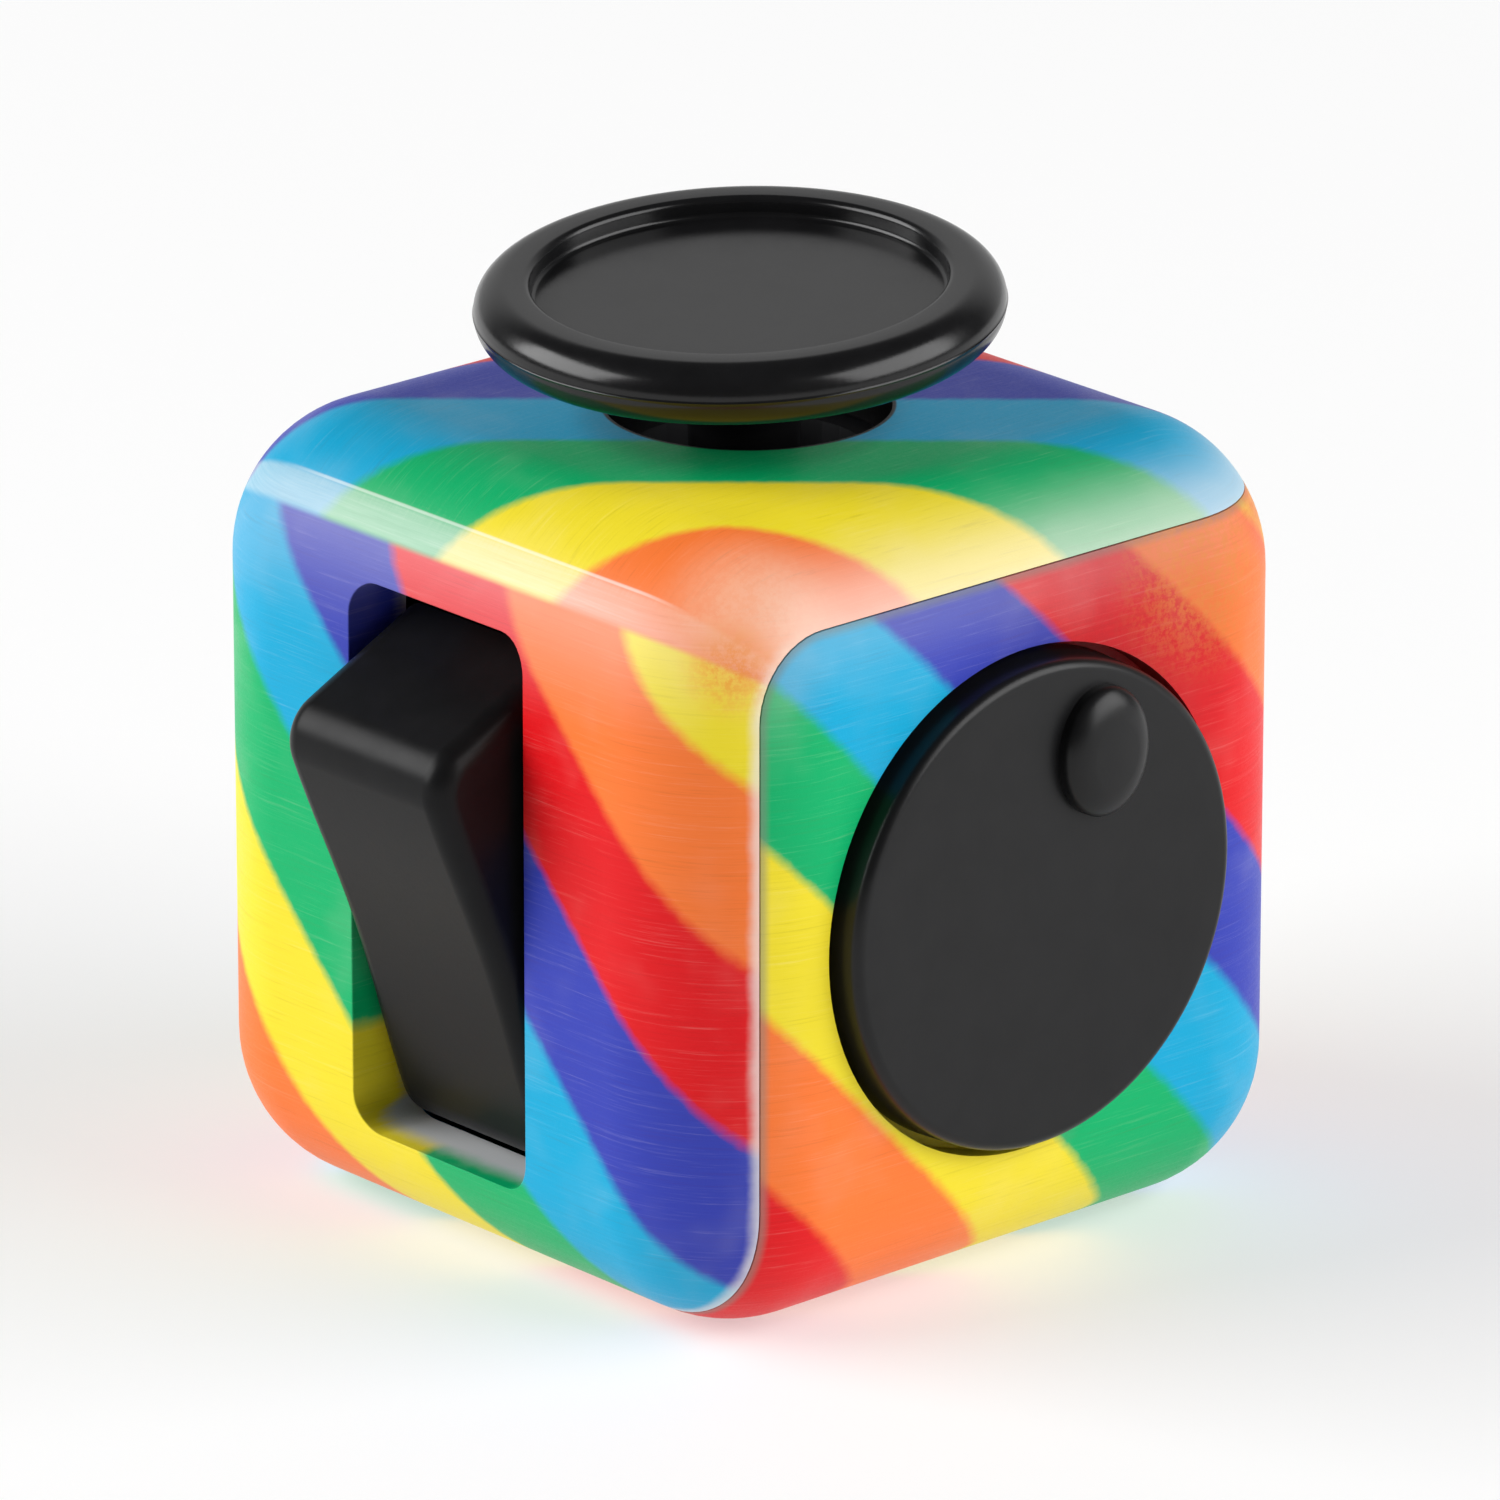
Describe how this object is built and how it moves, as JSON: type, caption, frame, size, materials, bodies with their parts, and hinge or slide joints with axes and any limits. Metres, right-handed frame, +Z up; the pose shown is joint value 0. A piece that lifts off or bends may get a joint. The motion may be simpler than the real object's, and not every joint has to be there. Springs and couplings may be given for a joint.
{
  "type": "fidget cube",
  "caption": "Hand-held desk toy cube in two rounded shells with a tilting thumb stick, rocker switch, turning dial, push buttons, rollers, rolling ball and thumb hollow.",
  "frame": {"origin": "on the resting surface, under the middle of the object's outline", "axes": "+Z up through the thumb stick, -Y out of the rocker switch's face, +X out of the dial's face"},
  "size_m": [0.0362, 0.0382, 0.0394],
  "materials": {
    "shell_plastic": "hard plastic with a striped rainbow water-transfer print",
    "black_plastic": "satin black moulded plastic",
    "inner_plastic": "dark grey moulded plastic",
    "steel": "bright steel",
    "spring_steel": "spring steel",
    "silicone": "moulded silicone"
  },
  "bodies": {
    "cube": {"joystick_housing": "inner_plastic", "joystick_base_cap": "inner_plastic", "joystick_spring": "spring_steel", "joystick_screw_a": "steel", "joystick_screw_b": "steel", "rocker_pin": "steel", "rocker_cradle": "inner_plastic", "rocker_leaf_spring": "spring_steel", "rocker_screw_a": "steel", "rocker_screw_b": "steel", "dial_click_spring": "spring_steel", "dial_click_screw": "steel", "button_silicone_pad": "silicone", "button_backing_plate": "inner_plastic", "button_screw_a": "steel", "button_screw_b": "steel", "roller_axle": "steel", "roller_cradle": "inner_plastic", "ball_cup": "inner_plastic", "ball_spring": "spring_steel", "roll_backing_plate": "inner_plastic", "roll_screw_a": "steel", "roll_screw_b": "steel", "shell_top_front_left": "shell_plastic", "shell_right_back_bottom": "shell_plastic"},
    "gimbal": {"joystick_gimbal_ring": "inner_plastic"},
    "stick": {"joystick_stem": "black_plastic", "joystick_cap": "black_plastic"},
    "rocker": {"rocker_switch": "black_plastic"},
    "dial": {"dial_knob": "black_plastic", "dial_ratchet": "inner_plastic", "dial_washer": "steel", "dial_screw": "steel"},
    "button_centre_body": {"button_centre": "black_plastic"},
    "button_upper_front_body": {"button_upper_front": "black_plastic"},
    "button_lower_front_body": {"button_lower_front": "black_plastic"},
    "button_upper_back_body": {"button_upper_back": "black_plastic"},
    "button_lower_back_body": {"button_lower_back": "black_plastic"},
    "roller_lower_body": {"roller_lower": "steel"},
    "roller_middle_body": {"roller_middle": "steel"},
    "roller_upper_body": {"roller_upper": "steel"},
    "ball_body": {"roll_ball": "steel"}
  },
  "joints": [
    {"name": "joystick_tilt_x", "type": "hinge", "parent": "cube", "child": "gimbal", "pos_m": [-0.0006, 0.00097, 0.0267], "axis": [1, 0, 0], "range_deg": [-13.9, 6.1], "stiffness_Nm_per_rad": 0.01},
    {"name": "joystick_tilt_y", "type": "hinge", "parent": "gimbal", "child": "stick", "pos_m": [-0.0006, 0.00097, 0.0267], "axis": [0, 0.9977, 0.068], "range_deg": [-11.77, 8.23], "stiffness_Nm_per_rad": 0.01},
    {"name": "rocker_flip", "type": "hinge", "parent": "cube", "child": "rocker", "pos_m": [-0.0006, -0.00973, 0.0165], "axis": [1, 0, 0], "range_deg": [-40.2, 0]},
    {"name": "dial_turn", "type": "hinge", "parent": "cube", "child": "dial", "pos_m": [0.0155, 0.00097, 0.0165], "axis": [1, 0, 0], "continuous": true},
    {"name": "button_centre_press", "type": "slide", "parent": "cube", "child": "button_centre_body", "axis": [1, 0, 0], "range_m": [0, 0.0009], "stiffness_N_per_m": 400, "springref_m": -0.001},
    {"name": "button_upper_front_press", "type": "slide", "parent": "cube", "child": "button_upper_front_body", "axis": [1, 0, 0], "range_m": [0, 0.0009], "stiffness_N_per_m": 400, "springref_m": -0.001},
    {"name": "button_lower_front_press", "type": "slide", "parent": "cube", "child": "button_lower_front_body", "axis": [1, 0, 0], "range_m": [0, 0.0009], "stiffness_N_per_m": 400, "springref_m": -0.001},
    {"name": "button_upper_back_press", "type": "slide", "parent": "cube", "child": "button_upper_back_body", "axis": [1, 0, 0], "range_m": [0, 0.0009], "stiffness_N_per_m": 400, "springref_m": -0.001},
    {"name": "button_lower_back_press", "type": "slide", "parent": "cube", "child": "button_lower_back_body", "axis": [1, 0, 0], "range_m": [0, 0.0009], "stiffness_N_per_m": 400, "springref_m": -0.001},
    {"name": "roller_lower_spin", "type": "hinge", "parent": "cube", "child": "roller_lower_body", "pos_m": [0.0044, 0.01457, 0.0165], "axis": [0, 0, 1], "continuous": true},
    {"name": "roller_middle_spin", "type": "hinge", "parent": "cube", "child": "roller_middle_body", "pos_m": [0.0044, 0.01457, 0.0165], "axis": [0, 0, 1], "continuous": true},
    {"name": "roller_upper_spin", "type": "hinge", "parent": "cube", "child": "roller_upper_body", "pos_m": [0.0044, 0.01457, 0.0165], "axis": [0, 0, 1], "continuous": true},
    {"name": "ball_roll", "type": "hinge", "parent": "cube", "child": "ball_body", "pos_m": [-0.0058, 0.01557, 0.0165], "axis": [1, 0, 0], "continuous": true}
  ]
}
